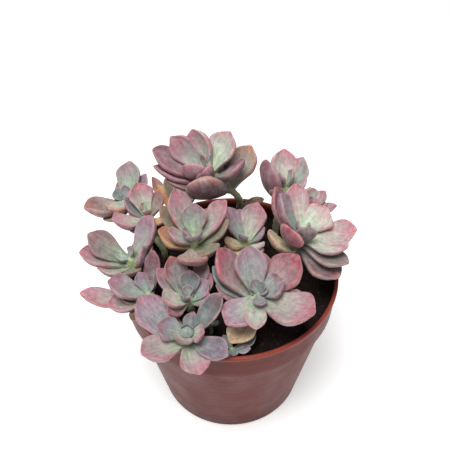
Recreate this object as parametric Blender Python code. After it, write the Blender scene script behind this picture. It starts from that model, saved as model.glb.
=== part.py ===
# A potted echeveria: a cluster of fleshy rosettes in a thin plastic nursery pot full of dark peat.
# Sizes are in millimetres. The origin is the middle of the pot's underside, +Z is up,
# and -Y is the side that the photograph shows.
import math
import random

import bpy
import bmesh
from mathutils import Matrix, Vector
from mathutils.bvhtree import BVHTree

MM = 0.001

# The pot: a 12 cm nursery pot with a tall rim band.
RIM_RADIUS = 60.0
POT_HEIGHT = 94.6
BAND_HEIGHT = 18.6
BAND_STEP = 1.9
BAND_TAPER = 1.4
BASE_RADIUS = 43.6
WALL = 1.3
FLOOR = 1.6
BASE_RISE = 2.0
BASE_PAD_RADIUS = 16.0
BASE_RING_WIDTH = 6.0
DRAIN_COUNT = 8
DRAIN_RADIUS = 4.0
DRAIN_CIRCLE = 27.0
TURN_STEPS = 44

# The peat, and the gap that keeps it clear of the pot and of the stems.
SOIL_TOP = 86.0
SOIL_BUMP = 1.0
SOIL_BUMPS = 46
SOIL_RINGS = (50.0, 39.0, 27.0, 14.0)
GAP = 0.35
STEM_DEPTH = 16.0

# The stems and the short cores that the leaves grow from.
STEM_RADIUS = 1.9
STEM_SIDES = 6
STEM_STEPS = 5
HOLE_SIDES = 8
CORE_RADIUS = 3.0
CORE_FOOT = 3.0

# A leaf's sections: each one's share of the length, of the half width and of the depth.
LEAF_SECTIONS = ((0.0, 0.40, 0.95), (0.30, 0.68, 1.0), (0.64, 1.0, 0.86), (0.88, 0.74, 0.56))
BUD_SECTIONS = ((0.0, 0.52, 0.95), (0.44, 0.96, 0.95), (0.83, 0.82, 0.62))
BUD_WIDTH = 9.5
KEEL_SHARE = 0.42
DEPTH_SHARE = 0.28
CUP = 0.20
BOW = 0.08
ROOT_OFFSET = 0.9

# How far a leaf may be bent or shortened to stay clear of what stands beside it.
RISE_STEPS = (0, 4, -4, 8, -8, 12, -12, 16, -16, 20, 25, 30)
BEARING_STEPS = (0, 5, -5, 10, -10, 15, -15, 20, -20)
SHORTER = (1.0, 0.92, 0.84, 0.76)

# Each rosette: the heart's place, the way its axis leans (bearing, angle), where its stem leaves the
# peat, and its leaves from the lowest to the innermost. A leaf is the bearing, the rise and the distance
# of its tip from the heart, its width, and how far below the heart it grows. A bearing of 0 points
# along +X and 90 along +Y. The sixth value, where there is one, rolls the leaf about its length.
ROSETTES = {
    "rosette_top": {
        "heart": (-13, 31, 141),
        "lean": (185, 40),
        "foot": (5, 46),
        "leaves": [
            (95, -15, 22, 12, 15),
            (140, -20, 22, 12, 14),
            (50, -10, 20, 12, 17),
            (240, 0, 17, 19, 16, 20),
            (200, -5, 22, 12, 14),
            (15, 20, 28, 16, 20, 40),
            (350, 20, 23, 14, 9, -20),
            (190, 10, 28, 13, 11),
            (180, 25, 30, 17, 6),
            (215, 30, 15, 14, 6, 10),
            (265, 25, 12, 11, 4),
            (160, 40, 25, 14, 3),
            (40, 40, 24, 18, 3, 30),
            (115, 45, 22, 16, 1),
            (80, 45, 10, 8, 0),
            (120, 45, 8, 7, 0),
            (110, 55, 7, 4, 0),
        ],
    },
    "rosette_front": {
        "heart": (14, -33, 112),
        "lean": (270, 4),
        "foot": (14, -30),
        "leaves": [
            (235, -30, 28, 14, 8),
            (350, 5, 23, 12, 7),
            (150, 12, 27, 12, 8),
            (165, 0, 22, 10, 9),
            (80, 20, 22, 13, 7),
            (140, 30, 30, 18, 6, 10),
            (35, 25, 28, 20, 5),
            (325, 10, 32, 21, 3),
            (230, 0, 25, 17, 3),
            (265, 5, 25, 11, 3),
            (105, 40, 24, 17, 2),
            (5, 30, 15, 15, 1),
            (275, 20, 12, 7, 0),
            (135, 55, 8, 7, 0),
            (30, 60, 7, 5, 0),
            (340, 45, 7, 5, 0),
        ],
    },
    "rosette_front_left": {
        "heart": (-21, -53, 106),
        "lean": (270, 5),
        "foot": (-20, -45),
        "leaves": [
            (75, 15, 12, 9, 5),
            (140, 5, 33, 19, 5),
            (330, -5, 23, 13, 3),
            (290, -15, 21, 15, 3),
            (215, 10, 25, 16, 3),
            (40, 30, 26, 11, 3),
            (170, 15, 15, 14, 2),
            (345, 25, 10, 10, 1),
            (250, 35, 9, 10, 1),
            (80, 75, 6, 6, 0),
        ],
    },
    "rosette_inner_left": {
        "heart": (-21, -32, 108),
        "lean": (270, 3),
        "foot": (-20, -26),
        "leaves": [
            (50, 10, 18, 9, 5),
            (65, 20, 22, 9, 5),
            (235, 15, 17, 8, 3, -20),
            (350, 15, 12, 9, 4),
            (145, 25, 22, 10, 4),
            (35, 25, 13, 11, 3),
            (120, 35, 23, 13, 3),
            (210, 25, 16, 13, 2),
            (85, 40, 14, 11, 1),
            (100, 60, 7, 6, 0),
            (250, 50, 7, 6, 0),
        ],
    },
    "rosette_left": {
        "heart": (-53, -8, 112),
        "lean": (180, 8),
        "foot": (-43, -6),
        "leaves": [
            (285, 0, 11, 10, 6),
            (350, 45, 12, 12, 6),
            (20, 20, 14, 9, 6),
            (210, 5, 18, 12, 5),
            (185, 15, 26, 15, 4),
            (45, 45, 26, 15, 4),
            (165, 30, 25, 19, 3, -10),
            (195, 30, 8, 8, 0),
            (60, 60, 7, 5, 0),
        ],
    },
    "rosette_left_low": {
        "heart": (-42, -25, 104),
        "lean": (190, 8),
        "foot": (-35, -21),
        "leaves": [
            (245, -15, 18, 10, 6),
            (190, 0, 15, 9, 6),
            (185, 5, 35, 12, 5),
            (205, 0, 22, 13, 4),
            (95, 25, 19, 8, 4),
            (80, 45, 22, 9, 3),
            (175, 25, 22, 15, 2),
            (125, 35, 12, 8, 1),
            (60, 60, 7, 5, 0),
        ],
    },
    "rosette_middle_left": {
        "heart": (-19, -3, 122),
        "lean": (270, 3),
        "foot": (-18, -1),
        "leaves": [
            (145, 30, 24, 10, 8),
            (65, 8, 22, 11, 8),
            (10, 25, 21, 10, 8),
            (185, 20, 19, 13, 7),
            (270, 5, 24, 15, 7),
            (315, 10, 18, 12, 7),
            (35, 35, 26, 13, 4),
            (120, 45, 27, 14, 4),
            (195, 30, 15, 11, 3),
            (85, 50, 18, 14, 1),
            (205, 55, 9, 7, 0),
            (320, 50, 9, 7, 0),
            (265, 45, 8, 7, 0),
        ],
    },
    "rosette_right": {
        "heart": (38, -2, 125),
        "lean": (330, 10),
        "foot": (35, 1),
        "leaves": [
            (200, 15, 20, 12, 15),
            (65, 10, 23, 12, 9),
            (305, -20, 31, 17, 9),
            (315, -5, 30, 14, 7),
            (230, 40, 15, 16, 8),
            (155, 55, 29, 14, 7),
            (345, 15, 28, 16, 5, 20),
            (325, 5, 26, 16, 4, 10),
            (170, 60, 27, 13, 4),
            (280, 50, 14, 11, 5),
            (100, 40, 25, 15, 3),
            (35, 25, 18, 17, 1),
            (200, 65, 8, 6, 0),
            (330, 60, 7, 5, 0),
        ],
    },
    "rosette_middle": {
        "heart": (9, 8, 110),
        "lean": (90, 4),
        "foot": (10, 11),
        "leaves": [
            (300, -5, 13, 12, 7),
            (225, 0, 15, 12, 6),
            (100, 12, 20, 12, 6),
            (325, 5, 12, 9, 5),
            (205, 10, 13, 10, 4),
            (20, 20, 12, 9, 3),
            (135, 45, 20, 11, 3),
            (65, 40, 21, 15, 2),
            (240, 55, 8, 6, 0),
        ],
    },
    "rosette_back_right": {
        "heart": (31, 29, 130),
        "lean": (45, 15),
        "foot": (27, 30),
        "leaves": [
            (120, 5, 20, 11, 6),
            (255, 25, 17, 11, 6),
            (310, 20, 18, 11, 6),
            (15, 15, 13, 11, 5),
            (200, 60, 23, 18, 6),
            (50, 30, 19, 13, 5),
            (90, 35, 21, 15, 3),
            (30, 65, 10, 7, 0),
            (200, 70, 10, 7, 0),
        ],
    },
    "rosette_back_left": {
        "heart": (-58, 33, 118),
        "lean": (150, 8),
        "foot": (-43, 29),
        "leaves": [
            (110, 5, 17, 9, 6),
            (205, 5, 25, 18, 4),
            (45, 30, 18, 9, 4),
            (230, -10, 19, 11, 5),
            (135, 15, 10, 11, 3),
            (85, 40, 22, 15, 2),
            (235, 10, 15, 13, 2),
            (110, 60, 8, 6, 0),
        ],
    },
    "rosette_back_left_inner": {
        "heart": (-46, 23, 116),
        "lean": (100, 4),
        "foot": (-38, 18),
        "leaves": [
            (235, -10, 15, 10, 7),
            (330, 10, 15, 9, 5),
            (165, 20, 16, 9, 5),
            (215, 15, 22, 14, 4),
            (50, 35, 14, 11, 3),
            (115, 40, 18, 14, 2),
            (280, 50, 8, 6, 0),
            (160, 60, 7, 5, 0),
        ],
    },
    "rosette_back": {
        "heart": (-28, 43, 104),
        "lean": (90, 5),
        "foot": (-24, 41),
        "leaves": [
            (140, 20, 26, 8, 6),
            (75, 5, 18, 9, 6),
            (155, 15, 15, 7, 5),
            (215, 10, 14, 8, 5),
            (145, 15, 22, 9, 4),
            (45, 30, 13, 8, 4),
            (120, 35, 21, 12, 3),
            (95, 30, 15, 10, 2),
            (270, 55, 7, 5, 0),
        ],
    },
    "rosette_back_right_small": {
        "heart": (47, 32, 112),
        "lean": (40, 6),
        "foot": (41, 27),
        "leaves": [
            (0, 0, 15, 8, 4),
            (300, 10, 12, 8, 4),
            (150, 15, 12, 8, 4),
            (210, 20, 11, 7, 3),
            (0, 12, 9, 8, 3),
            (35, 30, 12, 8, 2),
            (80, 30, 11, 9, 1),
            (120, 70, 6, 5, 0),
        ],
    },
    "offset_inner": {
        "heart": (-11, -36, 95),
        "lean": (0, 0),
        "foot": (-10, -37),
        "leaves": [
            (320, 20, 7, 4, 2),
            (180, 25, 5, 4, 2),
            (250, 30, 5, 4, 1.5),
            (10, 30, 5, 4, 1),
            (70, 40, 5, 4, 1),
        ],
    },
    "offset_front": {
        "heart": (1, -52, 93),
        "lean": (0, 0),
        "foot": (1, -49),
        "leaves": [
            (25, 15, 13, 6, 2),
            (130, 20, 8, 5, 2),
            (355, 0, 9, 6, 1.5),
            (240, 0, 7, 5, 1.5),
            (275, 5, 6, 5, 1),
        ],
    },
}
SMALL_HEADS = ("offset_inner", "offset_front")

# A shrivelled leaf that still hangs on the tall stem: its root and tip.
DRY_LEAF = {"root": (7.5, 42, 104), "tip": (21, 45, 106), "width": 7}

COLOURS = {
    "pot": (0.30, 0.125, 0.095, 1.0),
    "peat": (0.022, 0.014, 0.012, 1.0),
    "pink": (0.50, 0.27, 0.28, 1.0),
    "pale": (0.47, 0.42, 0.36, 1.0),
    "blue": (0.24, 0.31, 0.28, 1.0),
}
ROSETTE_COLOUR = {
    "rosette_left": "pale",
    "rosette_back_left": "pale",
    "rosette_inner_left": "pale",
    "rosette_back_right_small": "pale",
    "offset_inner": "blue",
    "offset_front": "blue",
}


def heading(bearing, rise):
    flat, up = math.radians(bearing), math.radians(rise)
    return Vector((math.cos(up) * math.cos(flat), math.cos(up) * math.sin(flat), math.sin(up)))


def material(name, colour, roughness):
    found = bpy.data.materials.get(name)
    if found:
        return found
    made = bpy.data.materials.new(name)
    made.use_nodes = True
    shader = made.node_tree.nodes["Principled BSDF"]
    shader.inputs["Base Color"].default_value = colour
    shader.inputs["Roughness"].default_value = roughness
    shader.inputs["Metallic"].default_value = 0.0
    return made


def solid(name, form, surface):
    """Makes an object from a bmesh whose sizes are in millimetres."""
    bmesh.ops.recalc_face_normals(form, faces=form.faces)
    bmesh.ops.scale(form, vec=(MM, MM, MM), verts=form.verts)
    mesh = bpy.data.meshes.new(name)
    form.to_mesh(mesh)
    form.free()
    mesh.materials.append(surface)
    made = bpy.data.objects.new(name, mesh)
    bpy.context.scene.collection.objects.link(made)
    return made


def turned(profile):
    """An outline of (radius, height) points that starts and ends on the axis, spun once about Z."""
    form = bmesh.new()
    points = [form.verts.new((radius, 0.0, height)) for radius, height in profile]
    edges = [form.edges.new(pair) for pair in zip(points, points[1:])]
    bmesh.ops.spin(
        form, geom=points + edges, cent=(0, 0, 0), axis=(0, 0, 1), angle=math.tau,
        steps=TURN_STEPS, use_merge=True,
    )
    bmesh.ops.remove_doubles(form, verts=form.verts, dist=0.001)
    return form


def connected_parts(form):
    """The faces of a bmesh in groups that hang together."""
    left, parts = set(form.faces), []
    while left:
        part, open_faces = [], [left.pop()]
        while open_faces:
            face = open_faces.pop()
            part.append(face)
            for edge in face.edges:
                for near in edge.link_faces:
                    if near in left:
                        left.remove(near)
                        open_faces.append(near)
        parts.append(part)
    return parts


def fill_pockets(mesh):
    """Takes out the skins of pockets that the leaves close off between them."""
    form = bmesh.new()
    form.from_mesh(mesh)
    parts = sorted(connected_parts(form), key=len)
    for part in parts[:-1]:
        middle = sum((face.calc_center_median() for face in part), Vector()) / len(part)
        inwards = sum(face.calc_area() * face.normal.dot(face.calc_center_median() - middle) for face in part)
        if inwards > 0:
            print("a loose body of", len(part), "faces in", mesh.name)
            continue
        bmesh.ops.delete(form, geom=part, context="FACES")
    form.to_mesh(mesh)
    form.free()


def apply_boolean(target, operation, tools):
    """Joins or cuts the target with a collection of tools, then removes the tools."""
    group = bpy.data.collections.new("tools_for_" + target.name)
    for tool in tools:
        bpy.context.scene.collection.objects.unlink(tool)
        group.objects.link(tool)
    bpy.context.scene.collection.children.link(group)
    step = target.modifiers.new("fuse", "BOOLEAN")
    step.operation = operation
    step.operand_type = "COLLECTION"
    step.collection = group
    step.solver = "EXACT"
    graph = bpy.context.evaluated_depsgraph_get()
    result = bpy.data.meshes.new_from_object(target.evaluated_get(graph))
    target.modifiers.clear()
    target.data = result
    for tool in tools:
        bpy.data.objects.remove(tool)
    bpy.data.collections.remove(group)


def inner_radius(height):
    """The radius of the pot's inner wall at a height."""
    band_foot = POT_HEIGHT - BAND_HEIGHT
    if height > band_foot:
        return RIM_RADIUS - 0.9 - WALL
    share = height / band_foot
    top = RIM_RADIUS - BAND_TAPER - BAND_STEP - WALL
    return (BASE_RADIUS - WALL) * (1 - share) + top * share


def make_pot():
    band_foot = POT_HEIGHT - BAND_HEIGHT
    wall_top = RIM_RADIUS - BAND_TAPER - BAND_STEP
    ring_inner = BASE_RADIUS - BASE_RING_WIDTH
    outside = [
        (0.0, 0.0), (BASE_PAD_RADIUS, 0.0), (BASE_PAD_RADIUS + 1.5, BASE_RISE),
        (ring_inner - 1.5, BASE_RISE), (ring_inner, 0.0), (BASE_RADIUS - 1.2, 0.0),
        (BASE_RADIUS, 1.2), (wall_top, band_foot), (RIM_RADIUS - BAND_TAPER, band_foot + 1.0),
        (RIM_RADIUS - 0.6, POT_HEIGHT - 2.6), (RIM_RADIUS, POT_HEIGHT - 1.9),
        (RIM_RADIUS, POT_HEIGHT - 0.6), (RIM_RADIUS - 0.6, POT_HEIGHT),
        (RIM_RADIUS - 1.6, POT_HEIGHT), (RIM_RADIUS - 2.1, POT_HEIGHT - 0.6),
    ]
    inside = [
        (inner_radius(POT_HEIGHT), band_foot + 1.8), (inner_radius(band_foot), band_foot - 0.6),
        (inner_radius(FLOOR), FLOOR), (ring_inner + 0.6, FLOOR),
        (ring_inner - 0.9, FLOOR + BASE_RISE), (BASE_PAD_RADIUS + 0.9, FLOOR + BASE_RISE),
        (BASE_PAD_RADIUS - 0.6, FLOOR), (0.0, FLOOR),
    ]
    pot = solid("pot", turned(outside + inside), material("pot_plastic", COLOURS["pot"], 0.42))
    drills = []
    for step in range(DRAIN_COUNT):
        turn = math.tau * (step + 0.5) / DRAIN_COUNT
        place = (DRAIN_CIRCLE * math.cos(turn), DRAIN_CIRCLE * math.sin(turn), BASE_RISE)
        drill = bmesh.new()
        bmesh.ops.create_cone(
            drill, cap_ends=True, segments=10, radius1=DRAIN_RADIUS, radius2=DRAIN_RADIUS,
            depth=FLOOR * 5, matrix=Matrix.Translation(place),
        )
        drills.append(solid("drain", drill, pot.data.materials[0]))
    apply_boolean(pot, "DIFFERENCE", drills)
    return pot


def make_soil(stems):
    """The peat: its side follows the pot's wall, its top is uneven, and each stem has its hole."""
    chance = random.Random(12)
    bumps = []
    for _ in range(SOIL_BUMPS):
        turn, reach = chance.uniform(0, math.tau), RIM_RADIUS * math.sqrt(chance.random()) * 0.92
        bumps.append((reach * math.cos(turn), reach * math.sin(turn),
                      chance.uniform(-SOIL_BUMP, SOIL_BUMP * 1.6), chance.uniform(5, 11)))
    band_foot = POT_HEIGHT - BAND_HEIGHT
    floor = FLOOR + BASE_RISE + GAP
    side = [
        (0.0, floor), (inner_radius(floor) - GAP, floor),
        (inner_radius(band_foot) - GAP, band_foot - 0.4),
        (inner_radius(POT_HEIGHT) - GAP, band_foot + 2.2),
        (inner_radius(POT_HEIGHT) - GAP, SOIL_TOP - 1.0),
    ]
    top = [(radius, SOIL_TOP) for radius in SOIL_RINGS]
    form = turned(side + top + [(0.0, SOIL_TOP)])
    for point in form.verts:
        if point.co.z > SOIL_TOP - 0.1:
            x, y = point.co.x, point.co.y
            point.co.z += sum(size * math.exp(-((x - bx) ** 2 + (y - by) ** 2) / spread ** 2)
                              for bx, by, size, spread in bumps)
    soil = solid("soil", form, material("peat", COLOURS["peat"], 0.95))
    drills = []
    for x, y, radius in stems:
        drill = bmesh.new()
        depth = STEM_DEPTH + 12.0
        bmesh.ops.create_cone(
            drill, cap_ends=True, segments=HOLE_SIDES, radius1=radius + GAP, radius2=radius + GAP,
            depth=depth, matrix=Matrix.Translation((x, y, SOIL_TOP - STEM_DEPTH + depth / 2)),
        )
        drills.append(solid("stem_hole", drill, soil.data.materials[0]))
    apply_boolean(soil, "DIFFERENCE", drills)
    return soil


def axis_of(head):
    bearing, angle = head["lean"]
    return heading(bearing, 90 - angle)


def stem_scale(name):
    return 0.5 if name in SMALL_HEADS else 1.0


def stem_form(name, head, grow=0.0):
    """The stem, up from its hole in the peat, and the core, which ends in a blunt point at the heart."""
    scale = stem_scale(name)
    heart, axis = Vector(head["heart"]), axis_of(head)
    lowest = max(leaf[4] for leaf in head["leaves"])
    foot = Vector((*head["foot"], SOIL_TOP + 2.5 * scale))
    collar = heart - axis * (lowest + CORE_FOOT * scale)
    pull = (collar - foot).length / 3
    above, below = foot + Vector((0, 0, pull)), collar - axis * pull
    thin, core = STEM_RADIUS * scale + grow, CORE_RADIUS * scale + grow
    rings = [(Vector((*head["foot"], SOIL_TOP - STEM_DEPTH + GAP)), thin)]
    for step in range(STEM_STEPS):
        s = step / (STEM_STEPS - 1)
        middle = foot * (1 - s) ** 3 + above * 3 * s * (1 - s) ** 2
        middle += below * 3 * s * s * (1 - s) + collar * s ** 3
        rings.append((middle, thin))
    rings.append((heart - axis * (lowest + scale), core))
    rings.append((heart - axis * 1.2 * scale, core * 0.85))
    rings.append((heart + axis * 0.4, core * 0.4))
    return lofted(rings, axis)


def lofted(rings, last_axis):
    """Skins round rings along a path, with flat ends."""
    form = bmesh.new()
    loops = []
    for index, (middle, radius) in enumerate(rings):
        before = rings[max(index - 1, 0)][0]
        after = rings[min(index + 1, len(rings) - 1)][0]
        along = (after - before).normalized() if index < len(rings) - 1 else last_axis
        side = Vector((1, 0, 0)).cross(along).normalized()
        front = along.cross(side)
        loop = []
        for step in range(STEM_SIDES):
            turn = math.tau * (step + 0.5) / STEM_SIDES
            spoke = side * math.sin(turn) + front * math.cos(turn)
            loop.append(form.verts.new(middle + spoke * radius))
        loops.append(loop)
    skin(form, loops)
    form.faces.new(loops[-1])
    return form


def skin(form, loops):
    """Joins each loop of points to the next, and closes the first."""
    count = len(loops[0])
    for low, high in zip(loops, loops[1:]):
        for step in range(count):
            after = (step + 1) % count
            form.faces.new((low[step], low[after], high[after], high[step]))
    form.faces.new(loops[0][::-1])


def leaf_form(root, tip, axis, width, roll=0.0, grow=0.0):
    """A fleshy spoon-shaped leaf: a shallow trough above, thick below, and a short point at the tip."""
    along = (tip - root).normalized()
    length = (tip - root).length
    up = (axis - along * axis.dot(along)).normalized()
    up = Matrix.Rotation(math.radians(roll), 3, along) @ up
    side = along.cross(up)
    deepest = width * DEPTH_SHARE
    form = bmesh.new()
    loops = []
    for share, spread, thick in LEAF_SECTIONS if width > BUD_WIDTH else BUD_SECTIONS:
        half = width / 2 * spread + grow
        deep = deepest * thick + grow
        middle = root + along * (length * share - grow) - up * (BOW * length * math.sin(math.pi * share))
        lift = CUP * half
        section = [(-half, lift + grow), (0.0, deepest * 0.08 + grow), (half, lift + grow)]
        if width > BUD_WIDTH:
            section += [(half * KEEL_SHARE, -deep), (-half * KEEL_SHARE, -deep)]
        else:
            section.append((0.0, -deep))
        loops.append([form.verts.new(middle + side * across + up * high) for across, high in section])
    skin(form, loops)
    point = form.verts.new(tip + along * grow)
    last = loops[-1]
    for step in range(len(last)):
        form.faces.new((last[step], last[(step + 1) % len(last)], point))
    bmesh.ops.triangulate(form, faces=form.faces[:])
    return form


def bends():
    """The ways to bend a leaf, the slightest first."""
    ways = []
    for rise in RISE_STEPS:
        for bearing in BEARING_STEPS:
            for shorter in SHORTER:
                cost = abs(rise) / 8 + abs(bearing) / 8 + (1 - shorter) * 14
                ways.append((cost, rise, bearing, shorter))
    ways.sort()
    return ways


def root_and_tip(head, leaf, bend):
    """Where a leaf grows from the core, and where its tip is once it is bent."""
    axis = axis_of(head)
    bearing, rise, reach, width, drop = leaf[:5]
    node = Vector(head["heart"]) - axis * drop
    chord = Vector(head["heart"]) + heading(bearing, rise) * reach - node
    _, more_rise, more_bearing, shorter = bend
    flat = math.degrees(math.atan2(chord.y, chord.x)) + more_bearing
    steep = math.degrees(math.asin(chord.z / chord.length)) + more_rise
    chord = heading(flat, steep) * chord.length * shorter
    out = (chord - axis * axis.dot(chord)).normalized()
    return node + out * ROOT_OFFSET * min(1.0, width / 9), node + chord


def roll_of(leaf):
    return leaf[5] if len(leaf) > 5 else 0.0


def clear_place(name, head, leaf, obstacles, ways):
    """The first bend that keeps a leaf clear of the pot, the peat and the other rosettes."""
    for bend in ways:
        root, tip = root_and_tip(head, leaf, bend)
        probe = leaf_form(root, tip, axis_of(head), leaf[3], roll_of(leaf), grow=GAP)
        tree = BVHTree.FromBMesh(probe)
        probe.free()
        if not any(owner != name and tree.overlap(other) for owner, other in obstacles):
            return root, tip
    print("no room for a leaf of", name, leaf)
    return None


def tree_of(form):
    bmesh.ops.triangulate(form, faces=form.faces[:])
    tree = BVHTree.FromBMesh(form)
    form.free()
    return tree


def make_rosettes(obstacles):
    ways = bends()
    for name, head in ROSETTES.items():
        obstacles.append((name, tree_of(stem_form(name, head, grow=0.05))))
    dry = leaf_form(Vector(DRY_LEAF["root"]), Vector(DRY_LEAF["tip"]), Vector((0, 0, 1)), DRY_LEAF["width"])
    obstacles.append(("rosette_top", BVHTree.FromBMesh(dry)))
    for name, head in ROSETTES.items():
        colour = ROSETTE_COLOUR.get(name, "pink")
        surface = material("leaf_" + colour, COLOURS[colour], 0.55)
        blades = []
        for leaf in head["leaves"]:
            place = clear_place(name, head, leaf, obstacles, ways)
            if place:
                blade = leaf_form(*place, axis_of(head), leaf[3], roll_of(leaf))
                obstacles.append((name, BVHTree.FromBMesh(blade)))
                blades.append(solid("leaf", blade, surface))
        if name == "rosette_top":
            blades.append(solid("dry_leaf", dry, surface))
        rosette = solid(name, stem_form(name, head), surface)
        apply_boolean(rosette, "UNION", blades)
        fill_pockets(rosette.data)


def main():
    for old in list(bpy.data.objects):
        bpy.data.objects.remove(old)
    pot = make_pot()
    soil = make_soil([(*head["foot"], STEM_RADIUS * stem_scale(name)) for name, head in ROSETTES.items()])
    obstacles = []
    for fixed in (pot, soil):
        copy = bmesh.new()
        copy.from_mesh(fixed.data)
        bmesh.ops.scale(copy, vec=(1 / MM, 1 / MM, 1 / MM), verts=copy.verts)
        obstacles.append((fixed.name, tree_of(copy)))
    make_rosettes(obstacles)


main()
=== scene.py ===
import math
import random

import bmesh
import bpy
import numpy as np
from mathutils import Matrix, Vector, kdtree, noise


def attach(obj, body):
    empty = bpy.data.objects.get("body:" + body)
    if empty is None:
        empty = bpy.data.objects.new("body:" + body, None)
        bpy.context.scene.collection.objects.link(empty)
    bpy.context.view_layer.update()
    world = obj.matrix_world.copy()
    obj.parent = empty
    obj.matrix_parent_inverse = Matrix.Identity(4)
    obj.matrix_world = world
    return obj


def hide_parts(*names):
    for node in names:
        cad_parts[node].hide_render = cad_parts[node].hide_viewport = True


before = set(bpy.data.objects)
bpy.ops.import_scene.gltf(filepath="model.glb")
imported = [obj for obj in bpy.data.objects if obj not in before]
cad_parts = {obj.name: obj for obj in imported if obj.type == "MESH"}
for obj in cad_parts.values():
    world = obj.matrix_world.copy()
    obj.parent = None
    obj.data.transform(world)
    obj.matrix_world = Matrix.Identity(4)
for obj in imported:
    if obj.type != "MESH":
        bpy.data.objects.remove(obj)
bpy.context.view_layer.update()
mm = 0.001
print("frame loaded,", len(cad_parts), "nodes")


def heading(bearing, rise):
    flat, steep = math.radians(bearing), math.radians(rise)
    return Vector((math.cos(steep) * math.cos(flat), math.cos(steep) * math.sin(flat), math.sin(steep)))


def tint(code):
    # a screen colour, two hex digits a channel, as the linear values that the shaders work with
    levels = np.array([int(code[place:place + 2], 16) for place in (0, 2, 4)]) / 255
    return np.where(levels <= 0.04045, levels / 12.92, ((levels + 0.055) / 1.055) ** 2.4)


def ease(values, start, stop):
    share = np.clip((values - start) / (stop - start), 0, 1)
    return share * share * (3 - 2 * share)


def mixTints(first, second, share):
    return first + (second - first) * share[:, None]


def newMaterial(name, roughness, specular=0.5):
    made = bpy.data.materials.new(name)
    made.use_nodes = True
    shader = made.node_tree.nodes["Principled BSDF"]
    shader.inputs["Roughness"].default_value = roughness
    shader.inputs["Specular IOR Level"].default_value = specular
    return made, made.node_tree, shader


def addNode(tree, kind, values=None, **settings):
    node = tree.nodes.new(kind)
    for key, value in settings.items():
        setattr(node, key, value)
    for key, value in (values or {}).items():
        node.inputs[key].default_value = value
    return node


def mixNode(tree, kind, factor, first, second):
    # a colour mix, whose factor and colours are sockets or plain values
    node = addNode(tree, "ShaderNodeMix", data_type="RGBA", blend_type=kind)
    for place, value in ((0, factor), (6, first), (7, second)):
        if isinstance(value, bpy.types.NodeSocket):
            tree.links.new(value, node.inputs[place])
        else:
            node.inputs[place].default_value = value
    return node.outputs[2]


def rampNode(tree, source, stops):
    node = addNode(tree, "ShaderNodeValToRGB")
    elements = node.color_ramp.elements
    while len(elements) < len(stops):
        elements.new(0.5)
    for element, (place, level) in zip(elements, stops):
        element.position = place
        element.color = (*level, 1) if len(np.shape(level)) else (level, level, level, 1)
    tree.links.new(source, node.inputs[0])
    return node.outputs[0]


def noiseNode(tree, vector, scale, detail=3, rough=0.5, stretch=(1, 1, 1)):
    mapping = addNode(tree, "ShaderNodeMapping", {"Scale": stretch})
    node = addNode(tree, "ShaderNodeTexNoise", {"Scale": scale, "Detail": detail, "Roughness": rough})
    tree.links.new(vector, mapping.inputs["Vector"])
    tree.links.new(mapping.outputs[0], node.inputs["Vector"])
    return node.outputs["Fac"]


def bumpNode(tree, shader, height, strength, distance, before=None):
    node = addNode(tree, "ShaderNodeBump", {"Strength": strength, "Distance": distance})
    tree.links.new(height, node.inputs["Height"])
    if before:
        tree.links.new(before.outputs[0], node.inputs["Normal"])
    tree.links.new(node.outputs[0], shader.inputs["Normal"])
    return node


def finishPiece(form, name, surface, node):
    # the bmesh is in millimetres; the piece stands for its CAD node
    bmesh.ops.scale(form, vec=(mm, mm, mm), verts=form.verts)
    mesh = bpy.data.meshes.new(name)
    form.to_mesh(mesh)
    form.free()
    mesh.materials.append(surface)
    mesh.shade_smooth()
    piece = bpy.data.objects.new(name, mesh)
    bpy.context.scene.collection.objects.link(piece)
    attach(piece, "root")
    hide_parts(node)
    return piece


# The pot: a thin moulded nursery pot. Sizes are those of its CAD solid, in millimetres.
pot = {
    "rimRadius": 60.0, "height": 94.6, "bandHeight": 18.6, "bandStep": 1.9, "bandTaper": 1.4,
    "baseRadius": 43.6, "wall": 1.3, "floor": 1.6, "baseRise": 2.0, "padRadius": 16.0, "ringWidth": 6.0,
    "drainCount": 8, "drainRadius": 4.0, "drainCircle": 27.0, "steps": 160,
    # deep is a painted shade at the foot of the wall
    "body": "60221c", "deep": "521a15", "dust": "744039", "rim": "893c2f",
    # inside is painted shade on the inner wall above the peat; the depth is how far past the inner wall it
    # reaches
    "scuff": "35191a", "inside": "2c1512", "innerShadeDepth": 0.4,
}


def innerRadius(height):
    bandFoot = pot["height"] - pot["bandHeight"]
    if height > bandFoot:
        return pot["rimRadius"] - 0.9 - pot["wall"]
    share = height / bandFoot
    top = pot["rimRadius"] - pot["bandTaper"] - pot["bandStep"] - pot["wall"]
    return (pot["baseRadius"] - pot["wall"]) * (1 - share) + top * share


def turnProfile(profile, steps):
    form = bmesh.new()
    points = [form.verts.new((radius, 0, height)) for radius, height in profile]
    edges = [form.edges.new(pair) for pair in zip(points, points[1:])]
    bmesh.ops.spin(form, geom=points + edges, cent=(0, 0, 0), axis=(0, 0, 1), angle=math.tau,
                   steps=steps, use_merge=True)
    bmesh.ops.remove_doubles(form, verts=form.verts, dist=0.001)
    bmesh.ops.recalc_face_normals(form, faces=form.faces)
    return form


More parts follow.
